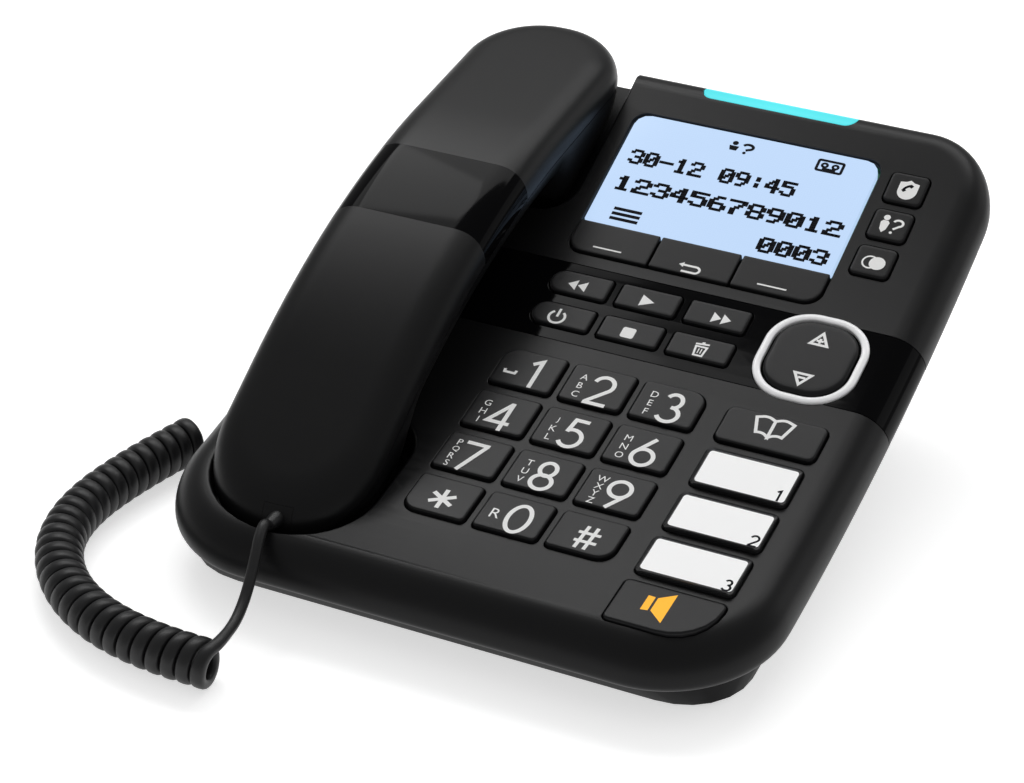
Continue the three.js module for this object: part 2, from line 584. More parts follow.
/** Every key on the face: its box in x and s, corner radii, rise, bevel and side flanges. */
function keyTable() {
  const keys = [];
  const numbers = [['star', '0', 'hash'], ['7', '8', '9'], ['4', '5', '6'], ['1', '2', '3']];
  numbers.forEach((row, j) => row.forEach((label, i) => {
    const left = NUMBER_KEY_LEFT + i * NUMBER_KEY_PITCH_X;
    const front = NUMBER_KEY_FRONT_S + j * NUMBER_KEY_PITCH_S;
    const corner = (column, line) => (i === column && j === line ? NUMBER_BLOCK_RADIUS : NUMBER_KEY_RADIUS);
    keys.push({
      name: `key_${label}`,
      box: plan(left, left + NUMBER_KEY_WIDTH, front, front + NUMBER_KEY_DEPTH),
      radii: [corner(2, 0), corner(2, 3), corner(0, 3), corner(0, 0)],
    });
  }));
  keys.push({
    name: 'phonebook_key',
    box: plan(PHONEBOOK_KEY_LEFT, PHONEBOOK_KEY_RIGHT, PHONEBOOK_KEY_FRONT_S,
      PHONEBOOK_KEY_FRONT_S + PHONEBOOK_KEY_DEPTH),
    radii: even(PHONEBOOK_KEY_RADIUS),
  });
  for (let j = 0; j < MEMORY_KEYS; j += 1) {
    const front = MEMORY_KEY_FRONT_S + j * MEMORY_KEY_PITCH_S;
    keys.push({
      name: `memory_key_${MEMORY_KEYS - j}`,
      box: plan(MEMORY_KEY_LEFT, MEMORY_KEY_LEFT + MEMORY_KEY_WIDTH, front, front + MEMORY_KEY_DEPTH),
      radii: even(MEMORY_KEY_RADIUS),
      rise: MEMORY_KEY_RISE,
      bevel: MEMORY_KEY_BEVEL,
      look: WHITE_PLASTIC,
    });
  }
  keys.push({
    name: 'loudspeaker_key',
    box: plan(PHONEBOOK_KEY_LEFT, LOUDSPEAKER_KEY_RIGHT, LOUDSPEAKER_KEY_FRONT_S, LOUDSPEAKER_KEY_REAR_S),
    radii: [LOUDSPEAKER_KEY_CORNER_RADIUS, ...even(LOUDSPEAKER_KEY_RADIUS).slice(1)],
    rise: LOUDSPEAKER_KEY_RISE,
    flangeSides: 0,
    flangeFront: 0,
  });
  const players = [['power_key', 'stop_key', 'delete_key'], ['rewind_key', 'play_key', 'forward_key']];
  players.forEach((row, j) => row.forEach((name, i) => {
    const left = NUMBER_KEY_LEFT + i * NUMBER_KEY_PITCH_X;
    const front = PLAY_ROW_FRONT_S + j * PLAY_ROW_PITCH_S;
    const end = i === 0 ? PLAY_KEY_END_RADIUS : PLAY_KEY_RADIUS;
    keys.push({
      name,
      box: plan(left, left + PLAY_KEY_WIDTH, front, front + PLAY_KEY_DEPTH),
      radii: [PLAY_KEY_RADIUS, PLAY_KEY_RADIUS, end, end],
      rise: PLAY_KEY_RISE,
    });
  }));
  const softEdges = [
    SOFT_KEY_LEFT, SOFT_KEY_SPLIT_1, SOFT_KEY_SPLIT_2, SOFT_KEY_RIGHT,
  ];
  ['left', 'middle', 'right'].forEach((side, i) => {
    const left = softEdges[i] + (i > 0 ? SOFT_KEY_SPLIT_WIDTH / 2 : 0);
    const right = softEdges[i + 1] - (i < 2 ? SOFT_KEY_SPLIT_WIDTH / 2 : 0);
    keys.push({
      name: `soft_key_${side}`,
      box: plan(left, right, SOFT_KEY_FRONT_S, SOFT_KEY_REAR_S),
      radii: [
        i === 2 ? SOFT_KEY_END_RADIUS : SOFT_KEY_RADIUS, SOFT_KEY_RADIUS,
        SOFT_KEY_RADIUS, i === 0 ? SOFT_KEY_END_RADIUS : SOFT_KEY_RADIUS,
      ],
      rise: SOFT_KEY_RISE,
      bevel: SOFT_KEY_BEVEL,
      flangeSides: 0,
      flangeRear: (DISPLAY_FRONT_S - SOFT_KEY_REAR_S) / 2,
      ownOpening: false,
    });
  });
  ['lower', 'middle', 'upper'].forEach((level, j) => {
    const front = SIDE_KEY_FRONT_S + j * SIDE_KEY_PITCH_S;
    keys.push({
      name: `side_key_${level}`,
      box: plan(SIDE_KEY_LEFT, SIDE_KEY_LEFT + SIDE_KEY_WIDTH, front, front + SIDE_KEY_DEPTH),
      radii: even(SIDE_KEY_RADIUS),
      rise: SIDE_KEY_RISE,
      onDisplayBoard: true,
    });
  });
  return keys;
}

/** The middle of a key's box in s. */
function keyCentreS(key) {
  return (key.box.front + key.box.rear) / 2;
}

/** The middle of a key's box in x. */
function keyCentreX(key) {
  return (key.box.left + key.box.right) / 2;
}

/** A key's box about its own middle. */
function keyLocalBox(key) {
  const { left, right, front, rear } = key.box;
  return planAbout(0, 0, (right - left) / 2, (rear - front) / 2);
}

/** Depth of the mat's upper face below a key, along the key's own normal. */
function matDepthUnder(key) {
  const middle = faceFrame(0, BOARD_CENTRE_S);
  const normal = new THREE.Vector3().setFromMatrixColumn(middle, 2);
  const here = faceFrame(0, keyCentreS(key));
  const offset = new THREE.Vector3().setFromMatrixPosition(here);
  offset.sub(new THREE.Vector3().setFromMatrixPosition(middle));
  const own = new THREE.Vector3().setFromMatrixColumn(here, 2);
  return (offset.dot(normal) + MAT_DEPTH) / own.dot(normal);
}

/** One key cap with its retaining flange and the stem that presses the mat. */
function keyGeometry(key) {
  const box = keyLocalBox(key);
  const { rise = KEY_RISE, bevel = KEY_BEVEL, flangeSides = KEY_FLANGE } = key;
  const { flangeFront = KEY_FLANGE, flangeRear = KEY_FLANGE } = key;
  const flangeBox = plan(box.left - flangeSides, box.right + flangeSides,
    box.front - flangeFront, box.rear + flangeRear);
  const flange = outline(flangeBox, key.radii);
  const cap = outline(box, key.radii);
  const face = outline(box, key.radii, bevel);
  const body = solid(loft([
    lift(flange, FLANGE_BOTTOM), lift(flange, FLANGE_TOP), lift(cap, FLANGE_TOP),
    lift(cap, rise - bevel), lift(face, rise),
  ]));
  const support = key.onDisplayBoard ? -MODULE_BOARD_TOP : matDepthUnder(key);
  const stemEnd = -(support - KEY_TRAVEL - MAT_CLEARANCE);
  if (FLANGE_BOTTOM - stemEnd < KEY_STEM_MIN_LENGTH) {
    return geometryOf(body);
  }
  const stemBox = planAbout(0, 0, KEY_STEM_HALF_WIDTH, KEY_STEM_HALF_WIDTH);
  const stem = solid(block(stemBox, stemEnd, (FLANGE_TOP + FLANGE_BOTTOM) / 2));
  return geometryOf(join(body, stem));
}

/** The opening in the face round one key. */
function keyOpening(key) {
  const geometry = loft([
    lift(outline(keyLocalBox(key), key.radii, -SLIDE_CLEARANCE), -WALL - OVERRUN),
    lift(outline(keyLocalBox(key), key.radii, -SLIDE_CLEARANCE), OVERRUN),
  ]);
  return solid(geometry, faceFrame(keyCentreX(key), keyCentreS(key)));
}

const KEYS = keyTable();
const KEY_OPENINGS = KEYS.filter((key) => key.ownOpening !== false).map(keyOpening);
const RING_FRAME = faceFrame(RING_X, RING_S);
const RING_BOX = planAbout(0, 0, RING_HALF_WIDTH, RING_HALF_DEPTH);
const RING_RADII = even(RING_RADIUS);
const RING_CORNER_STEPS = 6;
const BAND_FRAME = faceFrame(0, (BAND_FRONT_S + BAND_REAR_S) / 2);
const BAND_HALF_DEPTH = (BAND_REAR_S - BAND_FRONT_S) / 2;
const DISPLAY_FRAME = faceFrame((DISPLAY_LEFT + DISPLAY_RIGHT) / 2, (DISPLAY_FRONT_S + DISPLAY_REAR_S) / 2);
const DISPLAY_HALF_WIDTH = (DISPLAY_RIGHT - DISPLAY_LEFT) / 2;
const DISPLAY_HALF_DEPTH = (DISPLAY_REAR_S - DISPLAY_FRONT_S) / 2;
const DISPLAY_BOX = planAbout(0, 0, DISPLAY_HALF_WIDTH, DISPLAY_HALF_DEPTH);
const DISPLAY_RADII = [DISPLAY_FRONT_RADIUS, DISPLAY_REAR_RADIUS, DISPLAY_REAR_RADIUS, DISPLAY_FRONT_RADIUS];

/** Ring or rocker outline, drawn in by an inset. */
function ringOutline(inset) {
  return outline(RING_BOX, RING_RADII, inset, RING_CORNER_STEPS);
}

/** The groove that takes the navigation ring, and the opening for the rocker within it. */
function ringOpening() {
  const groove = ringOutline(-GAP);
  const through = ringOutline(RING_BAND);
  return solid(loft([
    lift(through, -WALL - BAND_THICKNESS), lift(through, -RING_SEAT - GAP),
    lift(groove, -RING_SEAT - GAP), lift(groove, OVERRUN),
  ]), RING_FRAME);
}

/** The opening shared by the display window and the soft keys. */
function displayOpening() {
  const box = plan(
    SOFT_KEY_LEFT - SLIDE_CLEARANCE, SOFT_KEY_RIGHT + SLIDE_CLEARANCE,
    SOFT_KEY_FRONT_S - SLIDE_CLEARANCE, DISPLAY_REAR_S + GAP,
  );
  const middle = (box.front + box.rear) / 2;
  const halfWidth = (box.right - box.left) / 2;
  const halfDepth = (box.rear - box.front) / 2;
  const centred = planAbout((box.left + box.right) / 2, 0, halfWidth, halfDepth);
  const radii = [SOFT_KEY_END_RADIUS, DISPLAY_REAR_RADIUS, DISPLAY_REAR_RADIUS, SOFT_KEY_END_RADIUS];
  return solid(prism(centred, radii, -WALL - BAND_THICKNESS, OVERRUN, 3), faceFrame(0, middle));
}

/** Block across the face that bounds the gloss band, grown by a gap. */
function bandBlock(grow) {
  const box = planAbout(0, 0, HALF_WIDTH + OVERRUN, BAND_HALF_DEPTH + grow);
  return solid(block(box, -BAND_SKIRT - grow, OVERRUN), BAND_FRAME);
}

/** Block at the rear roll that bounds the light bar, grown by a gap. */
function lightBarBlock(grow) {
  const rear = BASE_DEPTH + OVERRUN;
  const box = plan(LIGHT_BAR_LEFT - grow, LIGHT_BAR_RIGHT + grow, LIGHT_BAR_FRONT_Y - grow, rear);
  return solid(block(box, faceHeight(BASE_DEPTH) - LIGHT_BAR_DROP - grow, faceHeight(BASE_DEPTH) + OVERRUN));
}

const OUTER_SLAB = slabBody(0);
const MOUTH_WELL_BODY = wellBody(MOUTH_WELL, MOUTH_WELL_RADII, 0);
const EAR_WELL_BODY = wellBody(EAR_WELL, EAR_WELL_RADII, 0);

const HOOK_BOX = planAbout(HANDSET_X, HOOK_Y, HOOK_HALF_WIDTH, HOOK_HALF_DEPTH);
const HOOK_RADII = even(HOOK_RADIUS);

/** Height that follows the face, lowered by a drop. */
function below(drop) {
  return (y) => faceHeight(y) - drop;
}

/** Arched upper housing: thin shell with bullnose edge, two handset wells and all key openings. */
function upperHousing() {
  const walls = WALL - GAP / 2;
  const inside = cut(
    slabBody(WALL, OVERRUN),
    wellBody(MOUTH_WELL, MOUTH_WELL_RADII, walls),
    wellBody(EAR_WELL, EAR_WELL_RADII, walls),
  );
  const bandRecess = cut(bandBlock(GAP), slabBody(BAND_THICKNESS + GAP, OVERRUN));
  const lightRecess = cut(lightBarBlock(GAP), slabBody(LIGHT_BAR_THICKNESS + GAP, OVERRUN));
  const hookHole = solid(loft([
    lift(outline(HOOK_BOX, HOOK_RADII, -SLIDE_CLEARANCE), below(WELL_DEPTH + WALL + OVERRUN)),
    lift(outline(HOOK_BOX, HOOK_RADII, -SLIDE_CLEARANCE), below(0)),
  ]));
  return cut(OUTER_SLAB, MOUTH_WELL_BODY, EAR_WELL_BODY, inside, bandRecess, lightRecess, hookHole,
    ringOpening(), displayOpening(), ...KEY_OPENINGS);
}

/** Gloss inlay across the face and over both edge rolls. */
function glossBand() {
  const skin = cut(OUTER_SLAB.intersect(bandBlock(0)), slabBody(BAND_THICKNESS, OVERRUN));
  return cut(skin, ringOpening(), ...KEY_OPENINGS);
}

/** Light guide inlay on the rear roll. */
function lightBar() {
  return cut(OUTER_SLAB.intersect(lightBarBlock(0)), slabBody(LIGHT_BAR_THICKNESS, OVERRUN));
}

/** Navigation ring with a softened rim. */
function navRing() {
  const outerRing = solid(loft([
    lift(ringOutline(0), -RING_SEAT), lift(ringOutline(0), RING_RISE - RING_BEVEL),
    lift(ringOutline(RING_BEVEL), RING_RISE),
  ]));
  const bore = loft([lift(ringOutline(RING_BAND), -WALL - OVERRUN), lift(ringOutline(RING_BAND), OVERRUN)]);
  return cut(outerRing, solid(bore));
}

/** Rocker inside the ring, with the flange that holds it under the ring. */
function navRocker() {
  const capInset = RING_BAND + SLIDE_CLEARANCE;
  const flangeTop = -WALL - ROCKER_TILT_ROOM;
  const flangeInset = capInset - KEY_FLANGE;
  return solid(loft([
    lift(ringOutline(flangeInset), flangeTop - ROCKER_FLANGE), lift(ringOutline(flangeInset), flangeTop),
    lift(ringOutline(capInset), flangeTop), lift(ringOutline(capInset), ROCKER_RISE - ROCKER_RIM / 2),
    lift(ringOutline(capInset + ROCKER_RIM), ROCKER_RISE),
  ]));
}

/** Clear display window. */
function displayWindow() {
  return prism(DISPLAY_BOX, DISPLAY_RADII, DISPLAY_RISE - WINDOW_THICKNESS, DISPLAY_RISE, 3);
}

/** Display cell on its small board, which also carries the side keys. */
function displayModule() {
  const cell = plan(
    DISPLAY_BOX.left - MODULE_LIP, DISPLAY_BOX.right + MODULE_LIP,
    DISPLAY_BOX.front + GAP, DISPLAY_BOX.rear + MODULE_LIP,
  );
  const boardRight = MODULE_BOARD_RIGHT - (DISPLAY_LEFT + DISPLAY_RIGHT) / 2;
  const board = plan(cell.left, boardRight, cell.front, cell.rear);
  const boardBottom = MODULE_BOARD_TOP - MODULE_BOARD_THICKNESS;
  return join(
    solid(block(cell, boardBottom + MODULE_BOARD_THICKNESS / 2, FLANGE_TOP)),
    solid(block(board, boardBottom, MODULE_BOARD_TOP)),
  );
}

const BOARD_FRAME = faceFrame((BOARD_LEFT + BOARD_RIGHT) / 2, BOARD_CENTRE_S);
const BOARD_HALF_WIDTH = (BOARD_RIGHT - BOARD_LEFT) / 2;
const BOARD_TOP = -MAT_DEPTH - MAT_THICKNESS - GAP;
const BOARD_BOX = planAbout(0, 0, BOARD_HALF_WIDTH, BOARD_LENGTH / 2);
const BOARD_RADII = [BOARD_CORNER_RADIUS, BOARD_RADIUS, BOARD_RADIUS, BOARD_RADIUS];

/** Height of a plane in the board's frame, at y. */
function boardPlane(offset) {
  const angle = angleAtS(BOARD_CENTRE_S);
  const y0 = yAtS(BOARD_CENTRE_S);
  return (y) => {
    const along = (y - y0 + offset * Math.sin(angle)) / Math.cos(angle);
    return faceHeight(y0) + along * Math.sin(angle) + offset * Math.cos(angle);
  };
}

/** Outline of the foot line, narrowing to the rear. */
function footOutline(inset) {
  const box = plan(-FOOT_FRONT_HALF_WIDTH, FOOT_FRONT_HALF_WIDTH, FOOT_FRONT_Y, FOOT_REAR_Y);
  const stations = between(FOOT_FRONT_Y + FOOT_CORNER_RADIUS, FOOT_REAR_Y - FOOT_CORNER_RADIUS, 8);
  const points = outline(box, even(FOOT_CORNER_RADIUS), inset, BASE_CORNER_STEPS, stations);
  const taper = 1 - FOOT_REAR_HALF_WIDTH / FOOT_FRONT_HALF_WIDTH;
  return points.map(([x, y]) => [x * (1 - (taper * (y - FOOT_FRONT_Y)) / (FOOT_REAR_Y - FOOT_FRONT_Y)), y]);
}

/** Upright post with a round section, its top on a slanted plane. */
function post(x, y, radius, topOf) {
  const points = outline(planAbout(x, y, radius, radius), even(radius), 0, 3);
  return solid(loft([lift(points, FOOT_LINE_HEIGHT), lift(points, topOf)]));
}

const PAD_PLACES = {
  foot_front_left: [-PAD_FRONT_X, PAD_FRONT_Y],
  foot_front_right: [PAD_FRONT_X, PAD_FRONT_Y],
  foot_rear_left: [-PAD_REAR_X, PAD_REAR_Y],
  foot_rear_right: [PAD_REAR_X, PAD_REAR_Y],
};
const FLOOR_TOP = FOOT_LINE_HEIGHT + FLOOR_THICKNESS;
const SOCKET_BOTTOM = FLOOR_TOP + GAP;
const SOCKET_AXIS_HEIGHT = SOCKET_BOTTOM + SOCKET_HEIGHT / 2;
const SOCKET_FACE_Y = FOOT_REAR_Y;
const JACK_FACE_X = -(FOOT_FRONT_HALF_WIDTH - ((FOOT_FRONT_HALF_WIDTH - FOOT_REAR_HALF_WIDTH)
  * (JACK_Y - FOOT_FRONT_Y)) / (FOOT_REAR_Y - FOOT_FRONT_Y));
const HOOK_STEM_BOTTOM = faceHeight(HOOK_Y) - WELL_DEPTH - WALL - GAP - HOOK_TRAVEL
  - HOOK_FLANGE_THICKNESS - HOOK_STEM;
const SWITCH_BOTTOM = HOOK_STEM_BOTTOM - GAP - SWITCH_HEIGHT;

/** Cutter through the rear wall round a socket. */
function rearSocketWindow(x) {
  const box = plan(x - SOCKET_WIDTH / 2 - GAP, x + SOCKET_WIDTH / 2 + GAP,
    SOCKET_FACE_Y - SOCKET_LENGTH / 2, BASE_DEPTH);
  return solid(block(box, FLOOR_TOP, SOCKET_BOTTOM + SOCKET_HEIGHT + GAP));
}

/** Cutter through the left wall round the handset cord's jack. */
function sideSocketWindow() {
  const box = plan(-HALF_WIDTH, JACK_FACE_X + SOCKET_LENGTH / 2,
    JACK_Y - SOCKET_WIDTH / 2 - GAP, JACK_Y + SOCKET_WIDTH / 2 + GAP);
  return solid(block(box, FLOOR_TOP, SOCKET_BOTTOM + SOCKET_HEIGHT + GAP));
}

/** Tapered lower housing: tray with register tongue, board posts, slots and socket windows. */
function lowerHousing() {
  const seam = below(SLAB_THICKNESS + GAP);
  const outer = solid(loft([
    lift(footOutline(FOOT_LINE_BEVEL), FOOT_LINE_HEIGHT),
    lift(footOutline(0), FOOT_LINE_HEIGHT + FOOT_LINE_BEVEL),
    lift(baseOutline(SEAM_INSET), seam),
  ]));
  const tongueInset = SEAM_INSET + WALL + GAP;
  const tongue = solid(loft([
    lift(baseOutline(tongueInset), below(SLAB_THICKNESS + TONGUE_ROOT)),
    lift(baseOutline(tongueInset), below(SLAB_THICKNESS - TONGUE_HEIGHT)),
  ]));
  const inside = solid(loft([
    lift(footOutline(LOWER_WALL), FLOOR_TOP),
    lift(baseOutline(tongueInset + TONGUE_THICKNESS), below(SLAB_THICKNESS + TONGUE_ROOT)),
    lift(baseOutline(tongueInset + TONGUE_THICKNESS), below(0)),
  ]));
  const boardUnder = boardPlane(BOARD_TOP - BOARD_THICKNESS - GAP);
  const posts = [BOARD_POST_LEFT_X, BOARD_POST_RIGHT_X].flatMap((x) =>
    [BOARD_POST_FRONT_Y, BOARD_POST_REAR_Y].map((y) => post(x, y, BOARD_POST_RADIUS, boardUnder)));
  const switchPost = post(HANDSET_X, HOOK_Y, SWITCH_POST_RADIUS, SWITCH_BOTTOM - GAP).intersect(outer);
  const slots = Array.from({ length: SPEAKER_SLOTS }, (_, i) => {
    const x = SPEAKER_X + (i - (SPEAKER_SLOTS - 1) / 2) * SPEAKER_SLOT_PITCH;
    const box = planAbout(x, SPEAKER_Y, SPEAKER_SLOT_WIDTH / 2, SPEAKER_SLOT_LENGTH / 2);
    return solid(block(box, 0, FLOOR_TOP + GAP));
  });
  const recesses = Object.values(PAD_PLACES).map(([x, y]) =>
    solid(disc(x, y, PAD_RADIUS + GAP, 0, PAD_HEIGHT + GAP)));
  const wells = [
    wellBody(MOUTH_WELL, MOUTH_WELL_RADII, WALL + GAP), wellBody(EAR_WELL, EAR_WELL_RADII, WALL + GAP),
  ];
  const shell = cut(join(outer, tongue), inside);
  return cut(join(shell, ...posts, switchPost), ...wells, ...slots, ...recesses,
    rearSocketWindow(LINE_SOCKET_X), rearSocketWindow(POWER_SOCKET_X), sideSocketWindow());
}

/** Rectangular socket in a frame whose local Y points out of its mouth. */
function mouthSocket(width, height, length, mouthWidth, mouthHeight, mouthDepth) {
  const body = block(plan(-width / 2, width / 2, -length, 0), -height / 2, height / 2);
  const mouth = block(plan(-mouthWidth / 2, mouthWidth / 2, -mouthDepth, OVERRUN),
    -mouthHeight / 2, mouthHeight / 2);
  return cut(solid(body), solid(mouth));
}

/** Round power socket in the same kind of frame. */
function powerSocket() {
  const body = block(planAbout(0, -SOCKET_LENGTH / 2, SOCKET_WIDTH / 2, SOCKET_LENGTH / 2),
    -SOCKET_HEIGHT / 2, SOCKET_HEIGHT / 2);
  const length = SOCKET_MOUTH_DEPTH + OVERRUN;
  const bore = new THREE.CylinderGeometry(POWER_MOUTH_RADIUS, POWER_MOUTH_RADIUS, length, 12);
  return cut(solid(body), solid(bore.translate(0, length / 2 - SOCKET_MOUTH_DEPTH, 0)));
}

/** Plug with a short boot, in a frame whose local Y points to the cord. */
function plug() {
  const half = planAbout(0, 0, PLUG_WIDTH / 2, PLUG_HEIGHT / 2);
  const section = (inset) => outline(half, even(PLUG_RADIUS), inset, 1);
  const bootInset = (PLUG_HEIGHT - CORD_DIAMETER) / 4;
  const rings = [
    lift(section(0), 0), lift(section(0), PLUG_LENGTH), lift(section(bootInset), PLUG_LENGTH),
    lift(section(bootInset * 2), PLUG_LENGTH + PLUG_BOOT_LENGTH),
  ];
  return loft(rings).rotateX(-HALF_ROUND).rotateY(Math.PI).translate(0, -PLUG_LENGTH, 0);
}

/** Frame at a point, local Y turned to a direction in plan and raised by a tilt. */
function outwardFrame(x, y, z, heading, tilt) {
  const turn = new THREE.Matrix4().makeRotationZ(heading);
  turn.multiply(new THREE.Matrix4().makeRotationX(tilt));
  return turn.setPosition(x, y, z);
}

/** Loudspeaker: basket and magnet turned about its axis. */
function loudspeaker() {
  const profile = [
    [0, 0], [SPEAKER_RADIUS, 0], [SPEAKER_RADIUS, SPEAKER_RIM], [SPEAKER_MAGNET_RADIUS, SPEAKER_DEPTH / 2],
    [SPEAKER_MAGNET_RADIUS, SPEAKER_DEPTH], [0, SPEAKER_DEPTH],
  ].map(([radius, height]) => new THREE.Vector2(radius, height));
  return new THREE.LatheGeometry(profile, 24).rotateX(HALF_ROUND);
}

/** Height of the handset's back line, straight, bent and straight again. */
function handsetTop(y) {
  const start = HANDSET_BEND_START_Y;
  if (y < start) {
    return HANDSET_BEND_START_HEIGHT - (start - y) * Math.tan(HANDSET_MOUTH_SLOPE);
  }
  const drop = Math.sin(HANDSET_MOUTH_SLOPE) - (y - start) / HANDSET_BEND_RADIUS;
  const bend = (angle) => HANDSET_BEND_START_HEIGHT
    + HANDSET_BEND_RADIUS * (Math.cos(angle) - Math.cos(HANDSET_MOUTH_SLOPE));
  if (drop > Math.sin(HANDSET_EAR_SLOPE)) {
    return bend(Math.asin(drop));
  }
  const end = start + HANDSET_BEND_RADIUS * (Math.sin(HANDSET_MOUTH_SLOPE) - Math.sin(HANDSET_EAR_SLOPE));
  return bend(HANDSET_EAR_SLOPE) + (y - end) * Math.tan(HANDSET_EAR_SLOPE);
}

/** Height of the line where the two handset shells meet. */
function partingHeight(y) {
  return handsetTop(y) - HANDSET_PARTING_DROP;
}

/** Height of the handset's underside: mouth cup, slim grip, ear cup. */
function handsetUnderside(y) {
  const cup = faceHeight(Math.min(y, BASE_DEPTH)) - HANDSET_SINK;
  const grip = handsetTop(y) - GRIP_THICKNESS;
  const rise = THREE.MathUtils.smoothstep(y, MOUTH_CUP_END_Y, GRIP_START_Y);
  const fall = THREE.MathUtils.smoothstep(y, GRIP_END_Y, EAR_CUP_START_Y);
  return THREE.MathUtils.lerp(cup, grip, rise * (1 - fall));
}

const HANDSET_PLAN = plan(
  HANDSET_X - HANDSET_HALF_WIDTH, HANDSET_X + HANDSET_HALF_WIDTH, HANDSET_FRONT_Y, HANDSET_REAR_Y,
);
const HANDSET_RADII = [
  HANDSET_MOUTH_RADIUS, HANDSET_EAR_RADIUS, HANDSET_EAR_RADIUS, HANDSET_MOUTH_RADIUS,
];
const HANDSET_STRAIGHT_START = HANDSET_FRONT_Y + HANDSET_MOUTH_RADIUS;
const HANDSET_STRAIGHT_END = HANDSET_REAR_Y - HANDSET_EAR_RADIUS;
const TOP_STATIONS = between(HANDSET_STRAIGHT_START, HANDSET_STRAIGHT_END, 12);
const UNDER_STATIONS = [
  MOUTH_CUP_END_Y, ...between(MOUTH_CUP_END_Y, GRIP_START_Y, 3), GRIP_START_Y,
  ...between(GRIP_START_Y, GRIP_END_Y, 5), GRIP_END_Y, ...between(GRIP_END_Y, EAR_CUP_START_Y, 3),
  EAR_CUP_START_Y,
];
const HANDSET_CORNER_STEPS = 6;
const HANDSET_ROLL_STEPS = 5;

/** Ring of the handset at an inset, on a height that follows y. */
function handsetRing(inset, stations, height) {
  return lift(outline(HANDSET_PLAN, HANDSET_RADII, inset, HANDSET_CORNER_STEPS, stations), height);
}

/** Upper half of the handset, sunk by a skin thickness; the skirt carries it below the parting line. */
function handsetUpperBody(skin, skirt) {
  const rings = [handsetRing(skin, TOP_STATIONS, (y) => partingHeight(y) - skirt)];
  if (skirt > 0) {
    rings.push(handsetRing(skin, TOP_STATIONS, partingHeight));
  }
  const first = skirt > 0 ? 1 : 0;
  for (let k = first; k <= HANDSET_ROLL_STEPS; k += 1) {
    const turn = (HALF_ROUND * k) / HANDSET_ROLL_STEPS;
    const across = Math.cos(turn) ** (2 / HANDSET_ROLL_POWER);
    const up = Math.sin(turn) ** (2 / HANDSET_ROLL_POWER);
    const inset = skin + (HANDSET_ROLL_WIDTH - skin) * (1 - across);
    const drop = skin + (HANDSET_PARTING_DROP - skin) * (1 - up);
    if (k > 0) {
      rings.push(handsetRing(inset, TOP_STATIONS, (y) => handsetTop(y) - drop));
    }
  }
  return solid(loft(rings));
}

const UNDER_RING_SHARES = [[1, 0], [0.4, 0.18], [0.09, 0.5], [0, 1]];

/** Lower half of the handset, drawn in by a skin thickness, up to a lift over the parting line. */
function handsetLowerBody(skin, over) {
  const rings = UNDER_RING_SHARES.map(([insetShare, heightShare]) =>
    handsetRing(skin + insetShare * HANDSET_UNDER_ROLL, UNDER_STATIONS, (y) => {
      const bottom = handsetUnderside(y) + skin;
      return bottom + heightShare * (partingHeight(y) - bottom);
    }));
  if (over !== 0) {
    rings.push(handsetRing(skin, UNDER_STATIONS, (y) => partingHeight(y) + over));
  }
  return solid(loft(rings));
}

/** Block round the handset's gloss band, grown by a gap. */
function handsetBandBlock(grow) {
  const box = plan(HANDSET_PLAN.left - OVERRUN, HANDSET_PLAN.right + OVERRUN,
    HANDSET_BAND_FRONT_Y - grow, HANDSET_BAND_REAR_Y + grow);
  return solid(block(box, 0, handsetTop(HANDSET_REAR_Y) + OVERRUN));
}

const HANDSET_JACK_FRAME = outwardFrame(
  HANDSET_SOCKET_X, HANDSET_SOCKET_Y, HANDSET_SOCKET_Z, Math.PI, HANDSET_SOCKET_TILT,
);
const BASE_JACK_FRAME = outwardFrame(JACK_FACE_X, JACK_Y, SOCKET_AXIS_HEIGHT, HALF_ROUND, 0);
const LINE_FRAME = outwardFrame(LINE_SOCKET_X, SOCKET_FACE_Y, SOCKET_AXIS_HEIGHT, 0, 0);
const POWER_FRAME = outwardFrame(POWER_SOCKET_X, SOCKET_FACE_Y, SOCKET_AXIS_HEIGHT, 0, 0);

/** Opening in the handset's mouth end for the plug. */
function handsetPlugOpening() {
  const box = planAbout(0, 0, JACK_MOUTH_WIDTH / 2, PLUG_LENGTH);
  return solid(block(box, -JACK_MOUTH_HEIGHT / 2, JACK_MOUTH_HEIGHT / 2), HANDSET_JACK_FRAME);
}

/** Room that the socket block keeps inside the handset shells. */
function handsetSocketRoom() {
  const box = plan(-HANDSET_SOCKET_WIDTH / 2 - GAP, HANDSET_SOCKET_WIDTH / 2 + GAP,
    -HANDSET_SOCKET_INSET - HANDSET_SOCKET_LENGTH - GAP, -HANDSET_SOCKET_INSET + GAP);
  const half = HANDSET_SOCKET_HEIGHT / 2 + GAP;
  return solid(block(box, -half, half), HANDSET_JACK_FRAME);
}

/** Back shell of the handset. */
function handsetOuterShell() {
  const body = handsetUpperBody(0, 0);
  const bandRecess = cut(handsetBandBlock(GAP), handsetUpperBody(HANDSET_BAND_THICKNESS + GAP, OVERRUN));
  return cut(body, handsetUpperBody(HANDSET_WALL, OVERRUN), bandRecess, handsetPlugOpening(),
    handsetSocketRoom());
}

/** Gloss inlay of the handset. */
function handsetBand() {
  const body = handsetUpperBody(0, 0).intersect(handsetBandBlock(0));
  return cut(body, handsetUpperBody(HANDSET_BAND_THICKNESS, OVERRUN));
}

/** Row of sound slots through the handset's underside. */
function soundSlots(count, y) {
  return Array.from({ length: count }, (_, i) => {
    const x = HANDSET_X + (i - (count - 1) / 2) * RECEIVER_SLOT_PITCH;
    const box = planAbout(x, y, RECEIVER_SLOT_WIDTH / 2, RECEIVER_SLOT_LENGTH / 2);
    return solid(block(box, 0, handsetUnderside(y) + OVERRUN));
  });
}

